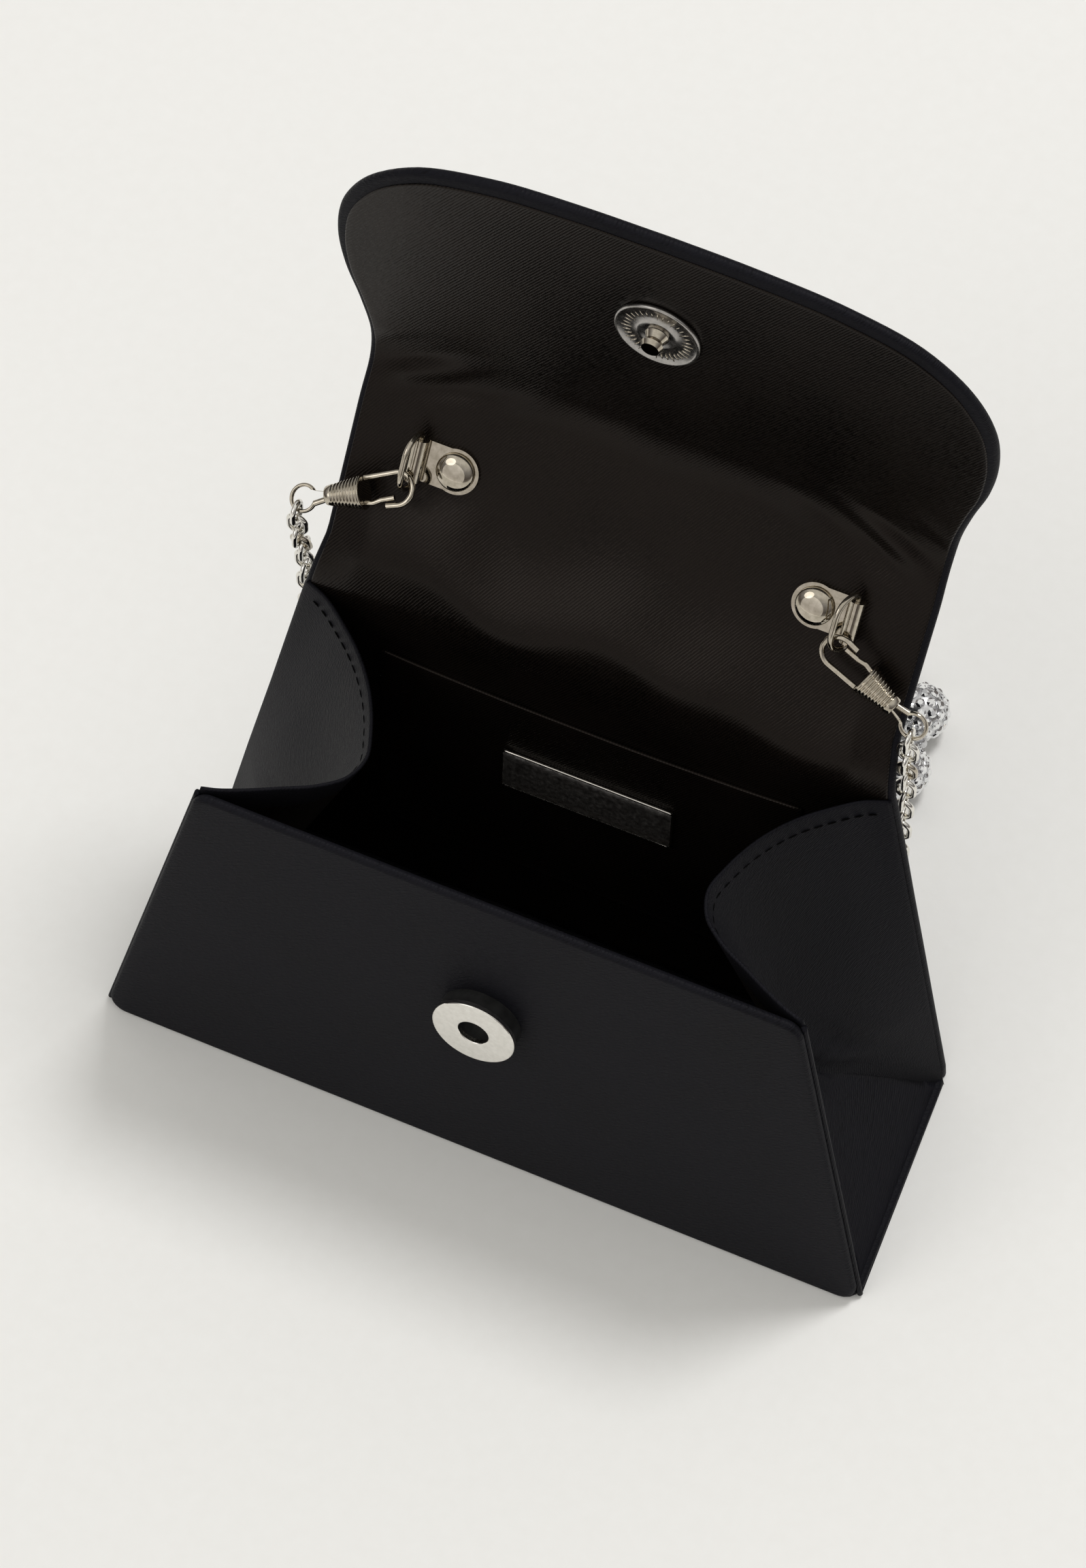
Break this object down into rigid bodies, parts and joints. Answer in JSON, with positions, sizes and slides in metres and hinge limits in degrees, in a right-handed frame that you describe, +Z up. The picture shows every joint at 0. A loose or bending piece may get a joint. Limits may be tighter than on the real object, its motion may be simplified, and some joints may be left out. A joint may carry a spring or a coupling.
{
  "type": "clutch purse",
  "caption": "Small black satin evening clutch with tapering body, inward-folded sides, snap flap, spring clips and a chain strap with rhinestone balls.",
  "frame": {"origin": "middle of the base underside, on the surface the bag stands on", "axes": "+X to the right along the width, -Y out of the front panel, +Z up"},
  "size_m": [0.171, 0.1534, 0.209],
  "materials": {
    "satin": "black satin twill",
    "lining": "warm black lining twill",
    "board": "grey stiffening board",
    "nickel": "polished nickel",
    "plate": "dark polished plate",
    "steel": "plain steel",
    "magnet": "black magnet case",
    "rhinestone": "clear rhinestones on silver",
    "cord": "silver grey cord"
  },
  "bodies": {
    "bag": {"base_cover": "satin", "base_board": "board", "base_lining": "lining", "front_cover": "satin", "front_board": "board", "front_lining": "lining", "back_cover": "satin", "back_board": "board", "back_lining": "lining", "gusset_left": "satin", "gusset_right": "satin", "gusset_lining_left": "lining", "gusset_lining_right": "lining", "gusset_hem_left": "satin", "gusset_hem_right": "satin", "slip_pocket": "lining", "name_plate": "plate", "snap_magnet": "magnet", "snap_face": "nickel", "snap_core": "steel", "snap_backing": "steel", "chain_left": "nickel", "chain_right": "nickel", "strand_end_left": "nickel", "strand_end_right": "nickel", "strand_core": "cord", "strand_balls": "rhinestone", "strand_spacers": "nickel"},
    "flap_roof": {"roof_cover": "satin", "roof_board": "board", "roof_lining": "lining", "anchor_left": "nickel", "anchor_right": "nickel", "rivet_left": "nickel", "rivet_right": "nickel"},
    "flap_lip": {"lip_cover": "satin", "lip_board": "board", "lip_lining": "lining", "stud_plate": "nickel", "stud_post": "nickel", "stud_backing": "steel"},
    "ring_left": {"ring_left": "nickel"},
    "clip_left": {"hook_left": "nickel", "sleeve_left": "nickel", "clip_loop_left": "nickel"},
    "gate_left": {"gate_left": "nickel"},
    "links_left": {"chain_top_left": "nickel"},
    "ring_right": {"ring_right": "nickel"},
    "clip_right": {"hook_right": "nickel", "sleeve_right": "nickel", "clip_loop_right": "nickel"},
    "gate_right": {"gate_right": "nickel"},
    "links_right": {"chain_top_right": "nickel"}
  },
  "joints": [
    {"name": "flap_back_fold", "type": "hinge", "parent": "bag", "child": "flap_roof", "pos_m": [0, 0.0333, 0.09707], "axis": [1, 0, 0], "range_deg": [-20, 132.6], "deforming": ["gusset_hem_left", "gusset_hem_right"]},
    {"name": "flap_front_fold", "type": "hinge", "parent": "flap_roof", "child": "flap_lip", "pos_m": [0, 0.06294, 0.14004], "axis": [1, 0, 0], "range_deg": [-60, 28.7]},
    {"name": "ring_turn_left", "type": "hinge", "parent": "flap_roof", "child": "ring_left", "pos_m": [-0.046, 0.04926, 0.12531], "axis": [0, -0.5678, -0.8231], "range_deg": [-60, 0]},
    {"name": "clip_swing_left", "type": "hinge", "parent": "ring_left", "child": "clip_left", "pos_m": [-0.04661, 0.0434, 0.12292], "axis": [-0.1886, -0.5312, 0.826], "range_deg": [-15, 0]},
    {"name": "gate_open_left", "type": "hinge", "parent": "clip_left", "child": "gate_left", "pos_m": [-0.05292, 0.03967, 0.11908], "axis": [-0.1886, -0.5312, 0.826], "range_deg": [0, 14], "stiffness_Nm_per_rad": 0.03},
    {"name": "links_swing_left", "type": "hinge", "parent": "clip_left", "child": "links_left", "pos_m": [-0.0663, 0.036, 0.11367], "axis": [0.9424, -0.3345, 0], "range_deg": [-12, 6]},
    {"name": "ring_turn_right", "type": "hinge", "parent": "flap_roof", "child": "ring_right", "pos_m": [0.046, 0.04926, 0.12531], "axis": [0, 0.5678, 0.8231], "range_deg": [-30, 0]},
    {"name": "clip_swing_right", "type": "hinge", "parent": "ring_right", "child": "clip_right", "pos_m": [0.04469, 0.04381, 0.12235], "axis": [0, -0.8231, 0.5678], "range_deg": [0, 15]},
    {"name": "gate_open_right", "type": "hinge", "parent": "clip_right", "child": "gate_right", "pos_m": [0.05279, 0.04285, 0.12096], "axis": [0, -0.8231, 0.5678], "range_deg": [0, 14], "stiffness_Nm_per_rad": 0.03},
    {"name": "links_swing_right", "type": "hinge", "parent": "clip_right", "child": "links_right", "pos_m": [0.06367, 0.03697, 0.11242], "axis": [1, 0, 0], "range_deg": [-12, 6]}
  ]
}
